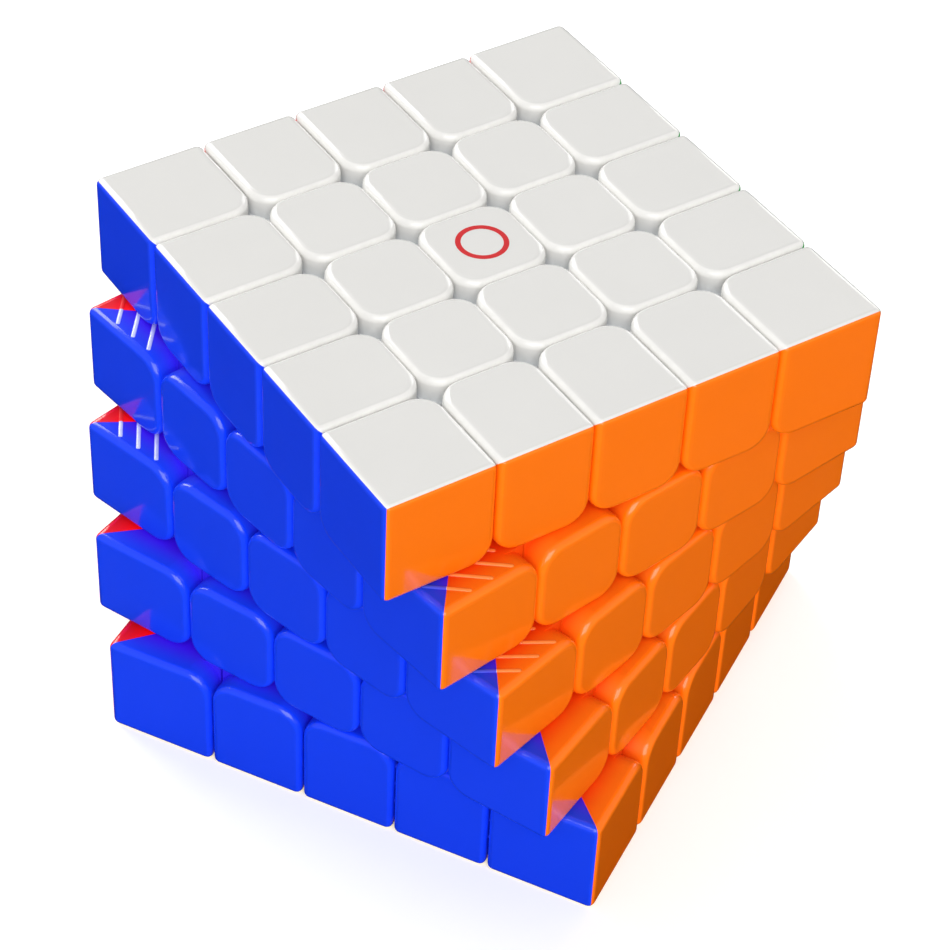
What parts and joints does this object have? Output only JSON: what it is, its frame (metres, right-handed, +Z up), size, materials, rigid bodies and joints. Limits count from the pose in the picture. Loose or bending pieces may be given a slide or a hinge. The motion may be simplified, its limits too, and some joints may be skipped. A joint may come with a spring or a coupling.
{
  "type": "twisty puzzle cube",
  "caption": "Stickerless cube puzzle of turning layers around a screwed core, its layers fanned out in a spiral about the vertical axis.",
  "frame": {"origin": "middle of the bottom face, on the surface that the cube stands on", "axes": "+Z up the axis that the layers turn on; the middle slice is square to the frame, with its green side towards +X, red +Y, blue -X and orange -Y"},
  "size_m": [0.0754, 0.0754, 0.061],
  "materials": {
    "white_plastic": "gloss",
    "yellow_plastic": "gloss",
    "green_plastic": "gloss",
    "red_plastic": "gloss",
    "blue_plastic": "gloss",
    "orange_plastic": "gloss",
    "core_plastic": "satin",
    "screw_steel": "satin",
    "spring_steel": "polished"
  },
  "bodies": {
    "middle_slice": {"core": "core_plastic", "screw_top": "screw_steel", "screw_bottom": "screw_steel", "screw_right": "screw_steel", "screw_back": "screw_steel", "screw_left": "screw_steel", "screw_front": "screw_steel", "spring_top": "spring_steel", "spring_bottom": "spring_steel", "spring_right": "spring_steel", "spring_back": "spring_steel", "spring_left": "spring_steel", "spring_front": "spring_steel", "middle_centre_back": "red_plastic", "middle_centre_left": "blue_plastic", "middle_centre_front": "orange_plastic", "middle_centre_right": "green_plastic", "middle_edge_back_right": "red_plastic", "middle_edge_back_left": "blue_plastic", "middle_edge_front_left": "orange_plastic", "middle_edge_front_right": "green_plastic"},
    "top_layer": {"top_corner_back_right": "white_plastic", "top_corner_back_left": "white_plastic", "top_corner_front_left": "white_plastic", "top_corner_front_right": "white_plastic", "top_edges_back": "white_plastic", "top_edges_left": "white_plastic", "top_edges_front": "white_plastic", "top_edges_right": "white_plastic", "top_centres": "white_plastic", "top_fixed_centre": "white_plastic", "top_cap": "white_plastic"},
    "upper_slice": {"upper_wing_back_right": "red_plastic", "upper_wing_back_left": "blue_plastic", "upper_wing_front_left": "orange_plastic", "upper_wing_front_right": "green_plastic", "upper_centres_back": "red_plastic", "upper_centres_left": "blue_plastic", "upper_centres_front": "orange_plastic", "upper_centres_right": "green_plastic"},
    "lower_slice": {"lower_wing_back_right": "red_plastic", "lower_wing_back_left": "blue_plastic", "lower_wing_front_left": "orange_plastic", "lower_wing_front_right": "green_plastic", "lower_centres_back": "red_plastic", "lower_centres_left": "blue_plastic", "lower_centres_front": "orange_plastic", "lower_centres_right": "green_plastic"},
    "bottom_layer": {"bottom_corner_back_right": "yellow_plastic", "bottom_corner_back_left": "yellow_plastic", "bottom_corner_front_left": "yellow_plastic", "bottom_corner_front_right": "yellow_plastic", "bottom_edges_back": "yellow_plastic", "bottom_edges_left": "yellow_plastic", "bottom_edges_front": "yellow_plastic", "bottom_edges_right": "yellow_plastic", "bottom_centres": "yellow_plastic", "bottom_fixed_centre": "yellow_plastic", "bottom_cap": "yellow_plastic"}
  },
  "joints": [
    {"name": "top_layer_turn", "type": "hinge", "parent": "middle_slice", "child": "top_layer", "pos_m": [0, 0, 0.0305], "axis": [0, 0, 1], "continuous": true},
    {"name": "upper_slice_turn", "type": "hinge", "parent": "middle_slice", "child": "upper_slice", "pos_m": [0, 0, 0.0305], "axis": [0, 0, 1], "continuous": true},
    {"name": "lower_slice_turn", "type": "hinge", "parent": "middle_slice", "child": "lower_slice", "pos_m": [0, 0, 0.0305], "axis": [0, 0, 1], "continuous": true},
    {"name": "bottom_layer_turn", "type": "hinge", "parent": "middle_slice", "child": "bottom_layer", "pos_m": [0, 0, 0.0305], "axis": [0, 0, 1], "continuous": true}
  ]
}
